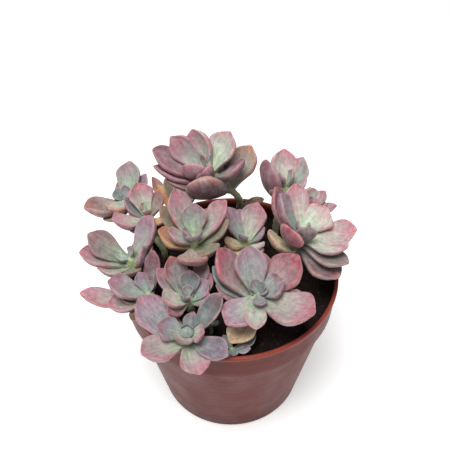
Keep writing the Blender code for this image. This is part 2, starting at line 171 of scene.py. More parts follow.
def paintPlastic():
    made, tree, shader = newMaterial("nurseryPotPlastic", 0.45, 0.16)
    place = addNode(tree, "ShaderNodeTexCoord").outputs["Object"]
    split = addNode(tree, "ShaderNodeSeparateXYZ")
    tree.links.new(place, split.inputs[0])
    height = addNode(tree, "ShaderNodeMath", {1: pot["height"] * mm}, operation="DIVIDE")
    tree.links.new(split.outputs["Z"], height.inputs[0])
    bandShare = 1 - pot["bandHeight"] / pot["height"]
    # the wall darkens towards the foot as painted shade; the lip takes the rim colour
    wall = rampNode(tree, height.outputs[0], [
        (0.0, tint(pot["deep"])), (0.25, tint(pot["body"])), (bandShare - 0.02, tint(pot["body"])),
        (0.955, tint(pot["body"])), (0.985, tint(pot["rim"])),
    ])
    cloud = rampNode(tree, noiseNode(tree, place, 45, 5, 0.6, (1, 1, 0.7)), [(0.45, 0.0), (0.75, 0.22)])
    colour = mixNode(tree, "MIX", cloud, wall, (*tint(pot["dust"]), 1))
    grain = rampNode(tree, noiseNode(tree, place, 900, 2, 0.5), [(0.3, 0.86), (0.7, 1.06)])
    colour = mixNode(tree, "MULTIPLY", 0.7, colour, grain)
    specks = rampNode(tree, noiseNode(tree, place, 420, 3, 0.7), [(0.735, 0.0), (0.77, 1.0)])
    colour = mixNode(tree, "MIX", specks, colour, (*tint(pot["scuff"]), 1))
    # the marks paint scuffs and stains, and dust with a painted soft highlight on the front
    for mark in potMarksAndHighlights:
        away = addNode(tree, "ShaderNodeVectorMath", {1: mark["at"]}, operation="DISTANCE")
        tree.links.new(place, away.inputs[0])
        wobble = addNode(tree, "ShaderNodeMath", {1: mark["ragged"] * mm}, operation="MULTIPLY_ADD")
        tree.links.new(noiseNode(tree, place, 300, 3, 0.7), wobble.inputs[0])
        tree.links.new(away.outputs["Value"], wobble.inputs[2])
        share = addNode(tree, "ShaderNodeMapRange", {
            "From Min": (mark["radius"] + mark["ragged"] * 0.5) * mm,
            "From Max": (mark["radius"] * 0.3 + mark["ragged"] * 0.5) * mm,
            "To Max": mark["strength"],
        })
        tree.links.new(wobble.outputs[0], share.inputs["Value"])
        colour = mixNode(tree, "MIX", share.outputs[0], colour, (*tint(mark["colour"]), 1))
    # the wall above the peat is painted dark inside, as shade under the leaves, up to just under the lip
    reach = addNode(tree, "ShaderNodeVectorMath", {1: (1, 1, 0)}, operation="MULTIPLY")
    tree.links.new(place, reach.inputs[0])
    radius = addNode(tree, "ShaderNodeVectorMath", operation="LENGTH")
    tree.links.new(reach.outputs[0], radius.inputs[0])
    innerShadeReach = (innerRadius(pot["height"]) + pot["innerShadeDepth"]) * mm
    within = addNode(tree, "ShaderNodeMath", {1: innerShadeReach}, operation="LESS_THAN")
    tree.links.new(radius.outputs["Value"], within.inputs[0])
    innerShade = rampNode(tree, height.outputs[0], [
        (bandShare, 0.0), (bandShare + 0.02, 0.9), (0.96, 0.85), (0.99, 0.0),
    ])
    inside = addNode(tree, "ShaderNodeMath", operation="MULTIPLY")
    tree.links.new(within.outputs[0], inside.inputs[0])
    tree.links.new(innerShade, inside.inputs[1])
    colour = mixNode(tree, "MIX", inside.outputs[0], colour, (*tint(pot["inside"]), 1))
    tree.links.new(colour, shader.inputs["Base Color"])
    dull = rampNode(tree, noiseNode(tree, place, 60, 4, 0.6), [(0.3, 0.38), (0.75, 0.58)])
    tree.links.new(dull, shader.inputs["Roughness"])
    rings = addNode(tree, "ShaderNodeTexWave", {"Scale": 60, "Distortion": 1.2, "Detail": 2},
                    bands_direction="Z")
    tree.links.new(place, rings.inputs["Vector"])
    first = bumpNode(tree, shader, rings.outputs["Fac"], 0.12, 0.0002)
    bumpNode(tree, shader, noiseNode(tree, place, 160, 4, 0.6), 0.25, 0.0003, first)
    shader.inputs["Subsurface Weight"].default_value = 0.05
    shader.inputs["Subsurface Radius"].default_value = (1.0, 0.3, 0.2)
    shader.inputs["Subsurface Scale"].default_value = 0.001
    return made


# scuffs and stains on the wall, and broad pale patches facing the front that are dust with a painted soft
# highlight: bearing and height on it, radius, raggedness, strength and colour
potMarksAndHighlights = []
for bearing, height, radius, ragged, strength, colour in (
    (296, 18, 4.5, 6, 0.75, "4a1c18"), (303, 30, 3.5, 8, 0.5, "55261f"),
    (299, 24, 2.0, 5, 0.7, "32100f"), (225, 52, 4.0, 6, 0.4, "5c2f2a"),
    # the pale a58b84, a98a84 and a3827c patches are dust with a painted soft highlight
    (262, 88, 9.0, 8, 0.35, "4d2a24"), (268, 74, 7.0, 6, 0.12, "a58b84"),
    (248, 62, 16.0, 14, 0.08, "a98a84"), (275, 60, 16.0, 14, 0.06, "a3827c"),
    (310, 66, 8.0, 10, 0.35, "5a2b26"),
):
    at = heading(bearing, 0) * (innerRadius(height) + pot["wall"]) * mm
    potMarksAndHighlights.append({"at": (at.x, at.y, height * mm), "radius": radius, "ragged": ragged,
                     "strength": strength, "colour": colour})


def makePot():
    bandFoot = pot["height"] - pot["bandHeight"]
    rim, top = pot["rimRadius"], pot["height"]
    wallTop = rim - pot["bandTaper"] - pot["bandStep"]
    ring = pot["baseRadius"] - pot["ringWidth"]
    corner = [(pot["baseRadius"] - 2.2 + 2.2 * math.sin(a), 2.2 - 2.2 * math.cos(a))
              for a in np.linspace(0, math.pi / 2, 7)]
    step = [(wallTop + 0.1, bandFoot - 0.8), (wallTop + 0.25, bandFoot - 0.25), (wallTop + 0.7, bandFoot),
            (wallTop + 1.3, bandFoot + 0.15), (rim - pot["bandTaper"] - 0.2, bandFoot + 0.5),
            (rim - pot["bandTaper"], bandFoot + 1.1)]
    lip = [(rim - 0.62, top - 2.9), (rim - 0.5, top - 2.5), (rim - 0.1, top - 2.0), (rim, top - 1.5),
           (rim - 0.02, top - 0.8), (rim - 0.25, top - 0.25), (rim - 0.8, top), (rim - 1.4, top - 0.02),
           (rim - 1.9, top - 0.3), (rim - 2.15, top - 0.9)]
    wall = [(corner[-1][0] + (wallTop - corner[-1][0]) * share, 2.2 + (bandFoot - 3.0) * share)
            for share in np.linspace(0.04, 0.98, 12)]
    band = [(rim - pot["bandTaper"] + 0.8 * share, bandFoot + 1.1 + (top - 4.0 - bandFoot) * share)
            for share in (0.2, 0.4, 0.6, 0.8, 0.96)]
    outside = [(0, 0), (pot["padRadius"], 0), (pot["padRadius"] + 1.5, pot["baseRise"]),
               (ring - 1.5, pot["baseRise"]), (ring, 0)] + corner + wall + step + band + lip
    floor = pot["floor"]
    inside = [(innerRadius(top), bandFoot + 1.8), (innerRadius(bandFoot), bandFoot - 0.6),
              (innerRadius(floor), floor), (ring + 0.6, floor), (ring - 0.9, floor + pot["baseRise"]),
              (pot["padRadius"] + 0.9, floor + pot["baseRise"]), (pot["padRadius"] - 0.6, floor), (0, floor)]
    form = turnProfile(outside + inside, pot["steps"])
    for point in form.verts:
        # a thin pot is never quite round
        turn = math.atan2(point.co.y, point.co.x)
        swell = 0.0016 * math.sin(2 * turn + 0.6) * point.co.z / pot["height"]
        point.co.x *= 1 - abs(swell)
        point.co.y *= 1 - abs(swell)
    piece = finishPiece(form, "nurseryPot", paintPlastic(), "pot")
    drill = bmesh.new()
    for count in range(pot["drainCount"]):
        turn = math.tau * (count + 0.5) / pot["drainCount"]
        at = Vector((pot["drainCircle"] * math.cos(turn), pot["drainCircle"] * math.sin(turn), 2)) * mm
        bmesh.ops.create_cone(drill, cap_ends=True, segments=32, radius1=pot["drainRadius"] * mm,
                              radius2=pot["drainRadius"] * mm, depth=8 * mm, matrix=Matrix.Translation(at))
    mesh = bpy.data.meshes.new("drainDrill")
    drill.to_mesh(mesh)
    drill.free()
    cutter = bpy.data.objects.new("drainDrill", mesh)
    bpy.context.scene.collection.objects.link(cutter)
    cut = piece.modifiers.new("drains", "BOOLEAN")
    cut.operation = "DIFFERENCE"
    cut.solver = "EXACT"
    cut.object = cutter
    drilled = bpy.data.meshes.new_from_object(piece.evaluated_get(bpy.context.evaluated_depsgraph_get()))
    piece.modifiers.clear()
    piece.data = drilled
    bpy.data.objects.remove(cutter)
    drilled.shade_smooth()
    drilled.set_sharp_from_angle(angle=math.radians(38))
    print("pot turned,", len(drilled.polygons), "faces")


# The peat: crumbs, fibres and a few pale grains, all one piece.
peat = {
    "top": 86.0, "bumps": 46, "bump": 1.0, "grid": 150, "crumbs": 1700, "fibres": 90, "grains": 14,
    "crumbSquash": ((0.7, 1.4), (0.7, 1.2), (0.5, 0.9)),
    "dark": "1a1210", "brown": "33221d", "red": "2f1a15", "fibre": "7a5c42", "grain": "8f8478",
}


def peatHeight(x, y, bumps):
    height = sum(size * math.exp(-((x - bx) ** 2 + (y - by) ** 2) / spread ** 2)
                 for bx, by, size, spread in bumps)
    coarse = noise.fractal(Vector((x * 0.16, y * 0.16, 3)), 1.0, 2.0, 4)
    fine = noise.fractal(Vector((x * 0.7, y * 0.7, 8)), 1.0, 2.0, 3)
    return peat["top"] + height + coarse * 0.9 + fine * 0.35


def addForm(form, part):
    # joins a finished part to a form, so that its points come last and in order; gives their number
    mesh = bpy.data.meshes.new("addedPart")
    part.to_mesh(mesh)
    part.free()
    form.from_mesh(mesh)
    count = len(mesh.vertices)
    bpy.data.meshes.remove(mesh)
    return count


def tubeAlong(path, radii, sides):
    # a round tube whose rings follow a path; the ends close to a point
    form = bmesh.new()
    bmesh.ops.create_grid(form, x_segments=len(path) - 1, y_segments=sides, size=1)
    frames = []
    for index, middle in enumerate(path):
        along = path[min(index + 1, len(path) - 1)] - path[max(index - 1, 0)]
        along = along.normalized()
        side = Vector((0.3, 1, 0.1)).cross(along)
        side = (side if side.length > 0.05 else Vector((1, 0, 0)).cross(along)).normalized()
        frames.append((middle, side, along.cross(side)))
    for point in form.verts:
        index = round((point.co.x + 1) / 2 * (len(path) - 1))
        turn = (point.co.y + 1) / 2 * math.tau
        middle, side, front = frames[index]
        point.co = middle + (side * math.cos(turn) + front * math.sin(turn)) * radii[index]
    bmesh.ops.remove_doubles(form, verts=form.verts, dist=0.0005)
    bmesh.ops.recalc_face_normals(form, faces=form.faces)
    return form


def paintPeat():
    made, tree, shader = newMaterial("dampPeat", 0.9, 0.25)
    place = addNode(tree, "ShaderNodeTexCoord").outputs["Object"]
    colour = addNode(tree, "ShaderNodeAttribute", attribute_name="peatColour").outputs["Color"]
    mottle = rampNode(tree, noiseNode(tree, place, 700, 5, 0.7), [(0.3, 0.45), (0.7, 1.5)])
    tree.links.new(mixNode(tree, "MULTIPLY", 1.0, colour, mottle), shader.inputs["Base Color"])
    bumpNode(tree, shader, noiseNode(tree, place, 1100, 5, 0.7), 0.7, 0.0006)
    return made


def makePeat():
    chance = random.Random(12)
    bumps = []
    for _ in range(peat["bumps"]):
        turn, reach = chance.uniform(0, math.tau), pot["rimRadius"] * math.sqrt(chance.random()) * 0.92
        bumps.append((reach * math.cos(turn), reach * math.sin(turn),
                      chance.uniform(-peat["bump"], peat["bump"] * 1.6), chance.uniform(5, 11)))
    form = bmesh.new()
    shades = []
    edge = innerRadius(pot["height"]) - 0.15
    bmesh.ops.create_grid(form, x_segments=peat["grid"], y_segments=peat["grid"], size=1)
    for point in form.verts:
        x, y = point.co.x, point.co.y
        reach = edge * max(abs(x), abs(y)) / (math.hypot(x, y) or 1)
        x, y = x * reach, y * reach
        point.co = (x, y, peatHeight(x, y, bumps) - 0.9 * ease(math.hypot(x, y), edge - 5, edge))
    bandFoot = pot["height"] - pot["bandHeight"]
    floor = pot["floor"] + pot["baseRise"] + 0.35
    rimEdges = [side for side in form.edges if side.is_boundary]
    for radius, height in ((edge, bandFoot + 2.2), (innerRadius(bandFoot) - 0.35, bandFoot - 0.4),
                           (innerRadius(floor) - 0.35, floor)):
        wall = bmesh.ops.extrude_edge_only(form, edges=rimEdges)["geom"]
        for point in [item for item in wall if isinstance(item, bmesh.types.BMVert)]:
            out = Vector((point.co.x, point.co.y, 0)).normalized()
            point.co = out * radius + Vector((0, 0, height))
        rimEdges = [item for item in wall if isinstance(item, bmesh.types.BMEdge) and item.is_boundary]
    bmesh.ops.contextual_create(form, geom=rimEdges)
    bmesh.ops.recalc_face_normals(form, faces=form.faces)
    bed, form = form, bmesh.new()
    addForm(form, bed)
    dark, brown, red = tint(peat["dark"]), tint(peat["brown"]), tint(peat["red"])
    for point in form.verts:
        share = noise.noise(Vector(point.co) * 0.22) * 0.5 + 0.35
        shades.append(dark + (brown - dark) * min(max(share, 0), 1) * 0.7)
    for _ in range(peat["crumbs"]):
        turn, reach = chance.uniform(0, math.tau), (edge - 1.5) * math.sqrt(chance.random())
        x, y = reach * math.cos(turn), reach * math.sin(turn)
        size = 0.35 + 1.25 * chance.random() ** 3
        crumb = bmesh.new()
        bmesh.ops.create_icosphere(crumb, subdivisions=1, radius=size)
        squash = [chance.uniform(low, high) for low, high in peat["crumbSquash"]]
        spin = Matrix.Rotation(chance.uniform(0, math.tau), 3, "Z")
        spin = spin @ Matrix.Rotation(chance.uniform(-0.6, 0.6), 3, "X")
        at = Vector((x, y, peatHeight(x, y, bumps) + size * 0.25))
        shade = (dark, brown, red, dark)[chance.randrange(4)] * chance.uniform(0.6, 1.5)
        for point in crumb.verts:
            rough = 1 + 0.35 * noise.noise(point.co * 2 + at)
            point.co = at + spin @ (Matrix.Diagonal(squash) @ (point.co * rough))
        shades.extend([shade] * addForm(form, crumb))
    for _ in range(peat["fibres"]):
        turn, reach = chance.uniform(0, math.tau), (edge - 6) * math.sqrt(chance.random())
        x, y, bearing = reach * math.cos(turn), reach * math.sin(turn), chance.uniform(0, math.tau)
        length, bend = chance.uniform(3, 9), chance.uniform(-0.5, 0.5)
        path = []
        for index in range(6):
            bearing += bend
            x, y = x + math.cos(bearing) * length / 6, y + math.sin(bearing) * length / 6
            path.append(Vector((x, y, peatHeight(x, y, bumps) + 0.25 + 0.35 * math.sin(index * 0.6))))
        thick = chance.uniform(0.08, 0.2)
        fibre = tubeAlong(path, [0.0, thick, thick, thick, thick, 0.0], 5)
        shade = tint(peat["fibre"]) * chance.uniform(0.25, 0.9)
        shades.extend([shade] * addForm(form, fibre))
    for _ in range(peat["grains"]):
        turn, reach = chance.uniform(0, math.tau), (edge - 3) * math.sqrt(chance.random())
        x, y = reach * math.cos(turn), reach * math.sin(turn)
        size = chance.uniform(0.3, 0.8)
        at = Matrix.Translation((x, y, peatHeight(x, y, bumps) + size * 0.5))
        grain = bmesh.new()
        bmesh.ops.create_icosphere(grain, subdivisions=1, radius=size, matrix=at)
        shade = tint(peat["grain"]) * chance.uniform(0.5, 0.9)
        shades.extend([shade] * addForm(form, grain))
    piece = finishPiece(form, "peatFilling", paintPeat(), "soil")
    layer = piece.data.color_attributes.new("peatColour", "FLOAT_COLOR", "POINT")
    colours = np.ones((len(shades), 4))
    colours[:, :3] = shades
    layer.data.foreach_set("color", colours.astype(np.float32).ravel())
    print("peat laid,", len(piece.data.polygons), "faces")


# The leaves. The numbers that place them are those of the CAD solids.
leafForm = {
    "depthShare": 0.28, "crownShare": 0.20, "cup": 0.20, "lowCup": 0.12, "bow": 0.08,
    "neck": 0.40, "belly": 0.66, "blunt": (1.9, 2.2), "peak": (0.56, 0.72), "fold": (0.02, 0.22),
    "rim": 0.10, "rimAt": 0.84, "rimWidth": 0.13, "trough": 0.14, "troughWidth": 0.3,
    "relief": 0.42, "ragged": 0.13, "wavy": 0.05, "mucro": 0.75, "mucroAt": 0.955,
    "sway": 0.03, "curl": 0.02, "twist": 8.0, "usualWidth": 14, "rootOffset": 0.9,
    "budWidth": 9.5, "lowDrop": 5, "leafSection": (0.88, 0.74), "budSection": (0.83, 0.82),
    "stemRadius": 1.9, "coreRadius": 3.0, "coreFoot": 3.0, "stemDepth": 16.0, "gap": 0.35,
    "leafMesh": (38, 30), "budMesh": (26, 20),
}
# Each leaf tone, as screen colours: near the heart, in the middle, at the tip, along the margin and
# underneath.
tones = {
    "celadon": ("a9b99d", "bfc1b4", "c3a2a4", "c08288", "8c7073"),
    "mint": ("9cb092", "9ba79c", "ad939a", "bd838c", "786b6c"),
    "leek": ("869a7e", "8d857c", "9b7a7a", "b07d7d", "6f5c5c"),
    "amber": ("b2baa6", "cbc1b3", "cba796", "d0825c", "8a6467"),
    "orchid": ("aebba1", "b39fab", "ba8597", "c48391", "85646f"),
    "slate": ("6f837a", "727c7b", "7d666e", "b48490", "5a585e"),
    "frost": ("8fa795", "979199", "a78291", "b9626e", "776370"),
    "pale": ("9eb49c", "b0c1b0", "acb8aa", "a9aca3", "80917f"),
    "ember": ("8a8580", "7d6468", "835a60", "b87a68", "5c4247"),
    "plum": ("8b938f", "857f8b", "8a7886", "bd8490", "6c5c66"),
    "coral": ("8d9e8c", "8d858b", "a96c6e", "b0625f", "785c60"),
    "peach": ("b5a79b", "c4a59d", "c78c82", "c0645a", "8a6a66"),
    "ash": ("80807a", "7f7874", "86716f", "a98580", "6c6262"),
    "sage": ("8da08d", "9a949a", "a97d8a", "b27f88", "7a6069"),
    "pink": ("9bae98", "b09ba1", "bb7f8a", "bd7680", "7f5d66"),
    "lilac": ("93a898", "a0929f", "ab8696", "bb7f8e", "765f6b"),
    "red": ("99a593", "a77c82", "ac5f6b", "b4555f", "7b5058"),
    "mauve": ("8a847f", "8c6d75", "9a6571", "aa6874", "86606b"),
    "grey": ("88a08e", "91919a", "9c8793", "bd8494", "6a6470"),
    "cream": ("a8b99d", "c3c3b8", "c8a5a2", "c17f80", "92807a"),
    "rose": ("aab79d", "bba8a7", "c68b95", "c46b76", "86656b"),
    "yellow": ("bfba98", "e2d2a8", "e2c29c", "cf9c7a", "a89a74"),
    "orange": ("a89f6a", "e0b27c", "dc9a6c", "cc7450", "9a7454"),
    "olive": ("7d8964", "969078", "a08a70", "a97c66", "70705a"),
    "blue": ("7b8b84", "7f8c88", "86908f", "938f94", "5f6f6a"),
    "bud": ("909b93", "9c979c", "a3909b", "b48a98", "7d797e"),
    "brown": ("77705f", "84705f", "8a6a5c", "94685c", "6a5a4c"),
    "dusk": ("8e897d", "98807c", "a4726f", "b3756a", "83625f"),
    "dry": ("6b5138", "8a6b4a", "9b7c5a", "7a5c40", "5a4430"),
    "stem": ("868b62", "a0aa7a", "a9b88c", "8f9874", "6c6e50"),
}
riseSteps = (0, 4, -4, 8, -8, 12, -12, 16, -16, 20, 25, 30)
bearingSteps = (0, 5, -5, 10, -10, 15, -15, 20, -20)
shorterSteps = (1.0, 0.92, 0.84, 0.76)
bends = sorted((abs(rise) / 8 + abs(bearing) / 8 + (1 - shorter) * 14, rise, bearing, shorter)
               for rise in riseSteps for bearing in bearingSteps for shorter in shorterSteps)

# Each rosette as in the CAD: heart, lean, foot, and its leaves from the lowest to the innermost, as
# bearing, rise, reach, width, drop, roll and tone, and for some how far to lift them off the next leaf,
# and what share of that width the leaf shows. Some rosettes have a dim, the share of their tones' light
# that they keep, which paints shade over the whole rosette, and one has a bud, the radius of a closed ball in
# its heart.
rosettes = {
    "rosette_top": {
        "heart": (-13, 31, 141), "lean": (185, 40), "foot": (5, 46), "slot": "leaf_pink",
        "leaves": (
            (95, -15, 22, 12, 15, 0, "mauve"), (140, -20, 22, 12, 14, 0, "mauve"),
            (50, -10, 20, 12, 17, 0, "mauve"), (240, 0, 17, 19, 16, 20, "ember"),
            (200, -5, 22, 12, 14, 0, "ember"), (15, 20, 28, 16, 20, 40, "amber"),
            (350, 20, 23, 14, 9, -20, "mauve"), (190, 10, 28, 13, 11, 0, "mauve"),
            (180, 25, 30, 17, 6, 0, "mauve"), (215, 30, 15, 14, 6, 10, "pink"),
            (265, 25, 12, 11, 4, 0, "pink"), (160, 40, 25, 14, 3, 0, "pink"),
            (40, 40, 24, 18, 3, 30, "celadon"), (115, 45, 22, 16, 1, 0, "rose"),
            (80, 45, 10, 8, 0, 0, "bud"), (120, 45, 8, 7, 0, 0, "bud"), (110, 55, 7, 4, 0, 0, "brown"),
        ),
    },
    "rosette_front": {
        "heart": (14, -33, 112), "lean": (270, 4), "foot": (14, -30), "dim": 0.88, "slot": "leaf_pink",
        "leaves": (
            (235, -30, 28, 14, 8, 0, "yellow"), (350, 5, 23, 12, 7, 0, "dusk"),
            (150, 12, 27, 12, 8, 0, "blue"), (165, 0, 22, 10, 9, 0, "dusk"),
            (80, 20, 22, 13, 7, 0, "dusk"), (140, 30, 30, 18, 6, 10, "red"),
            (35, 25, 28, 20, 5, 0, "red"), (325, 10, 32, 21, 3, 0, "rose", 0.8),
            (230, 0, 25, 17, 3, 0, "orchid"), (265, 5, 25, 11, 3, 0, "celadon", 1.5),
            (105, 40, 24, 17, 2, 0, "sage"), (5, 30, 15, 15, 1, 0, "sage"), (275, 20, 12, 7, 0, 0, "bud"),
            (135, 55, 8, 7, 0, 0, "bud"), (30, 60, 7, 5, 0, 0, "blue"), (340, 45, 7, 5, 0, 0, "bud"),
        ),
    },
    "rosette_front_left": {
        "heart": (-21, -53, 106), "lean": (270, 5), "foot": (-20, -45), "dim": 0.79,
        "slot": "leaf_pink", "bud": 3.2,
        "leaves": (
            (75, 15, 12, 9, 5, 0, "grey"), (140, 5, 33, 19, 5, 0, "lilac"),
            (330, -5, 23, 13, 3, 0, "plum"), (290, -15, 21, 15, 3, 0, "rose"),
            (215, 10, 25, 16, 3, 0, "rose"), (40, 30, 26, 11, 3, 0, "slate"),
            (170, 15, 15, 14, 2, 0, "frost"), (345, 25, 10, 10, 1, 0, "rose"),
            (250, 35, 9, 10, 1, 0, "cream"), (80, 75, 6, 6, 0, 0, "blue"),
        ),
    },
    "rosette_inner_left": {
        "heart": (-21, -32, 108), "lean": (270, 3), "foot": (-20, -26), "dim": 0.9, "slot": "leaf_pale",
        "leaves": (
            (50, 10, 18, 9, 5, 0, "pink"), (65, 20, 22, 9, 5, 0, "pink"), (235, 15, 17, 8, 3, -20, "red"),
            (350, 15, 12, 9, 4, 0, "pink"), (145, 25, 22, 10, 4, 0, "pink"),
            (35, 25, 13, 11, 3, 0, "lilac"), (120, 35, 23, 13, 3, 0, "coral"),
            (210, 25, 16, 13, 2, 0, "cream"), (85, 40, 14, 11, 1, 0, "slate"),
            (100, 60, 7, 6, 0, 0, "bud"), (250, 50, 7, 6, 0, 0, "bud"),
        ),
    },
    "rosette_left": {
        "heart": (-53, -8, 112), "lean": (180, 8), "foot": (-43, -6), "dim": 0.88, "slot": "leaf_pale",
        "leaves": (
            (285, 0, 11, 10, 6, 0, "olive"), (350, 45, 12, 12, 6, 0, "lilac"),
            (20, 20, 14, 9, 6, 0, "dusk"), (210, 5, 18, 12, 5, 0, "celadon"),
            (185, 15, 26, 15, 4, 0, "rose"), (45, 45, 26, 15, 4, 0, "orchid"),
            (165, 30, 25, 19, 3, -10, "leek", 0, 0.76), (195, 30, 8, 8, 0, 0, "pale"),
            (60, 60, 7, 5, 0, 0, "bud"),
        ),
    },
    "rosette_left_low": {
        "heart": (-42, -25, 104), "lean": (190, 8), "foot": (-35, -21), "dim": 0.88, "slot": "leaf_pink",
        "leaves": (
            (245, -15, 18, 10, 6, 0, "brown"), (190, 0, 15, 9, 6, 0, "olive"),
            (185, 5, 35, 12, 5, 0, "rose"), (205, 0, 22, 13, 4, 0, "rose"), (95, 25, 19, 8, 4, 0, "grey"),
            (80, 45, 22, 9, 3, 0, "mauve"), (175, 25, 22, 15, 2, 0, "sage"),
            (125, 35, 12, 8, 1, 0, "lilac"), (60, 60, 7, 5, 0, 0, "bud"),
        ),
    },
    "rosette_middle_left": {
        "heart": (-19, -3, 122), "lean": (270, 3), "foot": (-18, -1), "dim": 0.88, "slot": "leaf_pink",
        "leaves": (
            (145, 30, 24, 10, 8, 0, "olive"), (65, 8, 22, 11, 8, 0, "olive"),
            (10, 25, 21, 10, 8, 0, "olive"), (185, 20, 19, 13, 7, 0, "orange"),
            (270, 5, 24, 15, 7, 0, "peach"), (315, 10, 18, 12, 7, 0, "olive"),
            (35, 35, 26, 13, 4, 0, "rose"), (120, 45, 27, 14, 4, 0, "rose"),
            (195, 30, 15, 11, 3, 0, "rose"), (85, 50, 18, 14, 1, 0, "mint"), (205, 55, 9, 7, 0, 0, "bud"),
            (320, 50, 9, 7, 0, 0, "bud"), (265, 45, 8, 7, 0, 0, "bud"),
        ),
    },
    "rosette_right": {
        "heart": (38, -2, 125), "lean": (330, 10), "foot": (35, 1), "slot": "leaf_pink",
        "leaves": (
            (200, 15, 20, 12, 15, 0, "yellow"), (65, 10, 23, 12, 9, 0, "mauve"),
            (305, -20, 31, 17, 9, 0, "ember"), (315, -5, 30, 14, 7, 0, "ash"),
            (230, 40, 15, 16, 8, 0, "red"), (155, 55, 29, 14, 7, 0, "red"),
            (345, 15, 28, 16, 5, 20, "rose"), (325, 5, 26, 16, 4, 10, "celadon"),
            (170, 60, 27, 13, 4, 0, "lilac"), (280, 50, 14, 11, 5, 0, "ash"),
            (100, 40, 25, 15, 3, 0, "rose"), (35, 25, 18, 17, 1, 0, "cream"),
            (200, 65, 8, 6, 0, 0, "bud"), (330, 60, 7, 5, 0, 0, "bud"),
        ),
    },
    "rosette_middle": {
        "heart": (9, 8, 110), "lean": (90, 4), "foot": (10, 11), "slot": "leaf_pink",
        "leaves": (
            (300, -5, 13, 12, 7, 0, "yellow"), (225, 0, 15, 12, 6, 0, "yellow"),
            (100, 12, 20, 12, 6, 0, "lilac"), (325, 5, 12, 9, 5, 0, "cream"),
            (205, 10, 13, 10, 4, 0, "yellow"), (20, 20, 12, 9, 3, 0, "lilac"),
            (135, 45, 20, 11, 3, 0, "lilac"), (65, 40, 21, 15, 2, 0, "rose"),
            (240, 55, 8, 6, 0, 0, "bud"),
        ),
    },
    "rosette_back_right": {
        "heart": (31, 29, 130), "lean": (45, 15), "foot": (27, 30), "slot": "leaf_pink",
        "leaves": (
            (120, 5, 20, 11, 6, 0, "mauve"), (255, 25, 17, 11, 6, 0, "mauve"),
            (310, 20, 18, 11, 6, 0, "cream"), (15, 15, 13, 11, 5, 0, "mint"),
            (200, 60, 23, 18, 6, 0, "mauve"), (50, 30, 19, 13, 5, 0, "mint"),
            (90, 35, 21, 15, 3, 0, "rose"), (30, 65, 10, 7, 0, 0, "mint"), (200, 70, 10, 7, 0, 0, "mint"),
        ),
    },
    "rosette_back_left": {
        "heart": (-58, 33, 118), "lean": (150, 8), "foot": (-43, 29), "slot": "leaf_pale",
        "leaves": (
            (110, 5, 17, 9, 6, 0, "mauve"), (205, 5, 25, 18, 4, 0, "dusk"), (45, 30, 18, 9, 4, 0, "grey"),
            (230, -10, 19, 11, 5, 0, "olive"), (135, 15, 10, 11, 3, 0, "blue"),
            (85, 40, 22, 15, 2, 0, "mint"), (235, 10, 15, 13, 2, 0, "amber"),
            (110, 60, 8, 6, 0, 0, "bud"),
        ),
    },
    "rosette_back_left_inner": {
        "heart": (-46, 23, 116), "lean": (100, 4), "foot": (-38, 18), "slot": "leaf_pink",
        "leaves": (
            (235, -10, 15, 10, 7, 0, "mauve"), (330, 10, 15, 9, 5, 0, "orange"),
            (165, 20, 16, 9, 5, 0, "grey"), (215, 15, 22, 14, 4, 0, "rose"),
            (50, 35, 14, 11, 3, 0, "dusk"), (115, 40, 18, 14, 2, 0, "rose"),
            (280, 50, 8, 6, 0, 0, "cream"), (160, 60, 7, 5, 0, 0, "cream"),
        ),
    },
    "rosette_back": {
        "heart": (-28, 43, 104), "lean": (90, 5), "foot": (-24, 41), "slot": "leaf_pink",
        "leaves": (
            (140, 20, 26, 8, 6, 0, "dusk"), (75, 5, 18, 9, 6, 0, "olive"),
            (155, 15, 15, 7, 5, 0, "orange"), (215, 10, 14, 8, 5, 0, "grey"),
            (145, 15, 22, 9, 4, 0, "orange"), (45, 30, 13, 8, 4, 0, "yellow"),
            (120, 35, 21, 12, 3, 0, "olive"), (95, 30, 15, 10, 2, 0, "grey"),
            (270, 55, 7, 5, 0, 0, "bud"),
        ),
    },
    "rosette_back_right_small": {
        "heart": (47, 32, 112), "lean": (40, 6), "foot": (41, 27), "slot": "leaf_pale",
        "leaves": (
            (0, 0, 15, 8, 4, 0, "pink"), (300, 10, 12, 8, 4, 0, "pink"), (150, 15, 12, 8, 4, 0, "lilac"),
            (210, 20, 11, 7, 3, 0, "dusk"), (0, 12, 9, 8, 3, 0, "cream"), (35, 30, 12, 8, 2, 0, "pink"),
            (80, 30, 11, 9, 1, 0, "cream"), (120, 70, 6, 5, 0, 0, "bud"),
        ),
    },
    "offset_inner": {
        "heart": (-11, -36, 95), "lean": (0, 0), "foot": (-10, -37), "slot": "leaf_blue",
        "leaves": (
            (320, 20, 7, 4, 2, 0, "pale"), (180, 25, 5, 4, 2, 0, "pale"), (250, 30, 5, 4, 1.5, 0, "pale"),
            (10, 30, 5, 4, 1, 0, "pale"), (70, 40, 5, 4, 1, 0, "pale"),
        ),
    },
    "offset_front": {
        "heart": (1, -52, 93), "lean": (0, 0), "foot": (1, -49), "slot": "leaf_blue",
        "leaves": (
            (25, 15, 13, 6, 2, 0, "blue"), (130, 20, 8, 5, 2, 0, "blue"), (355, 0, 9, 6, 1.5, 0, "bud"),
            (240, 0, 7, 5, 1.5, 0, "blue"), (275, 5, 6, 5, 1, 0, "blue"),
        ),
    },
}
dryLeaf = {"root": (7.5, 42, 104), "tip": (21, 45, 106), "width": 7, "crumple": 0.35}


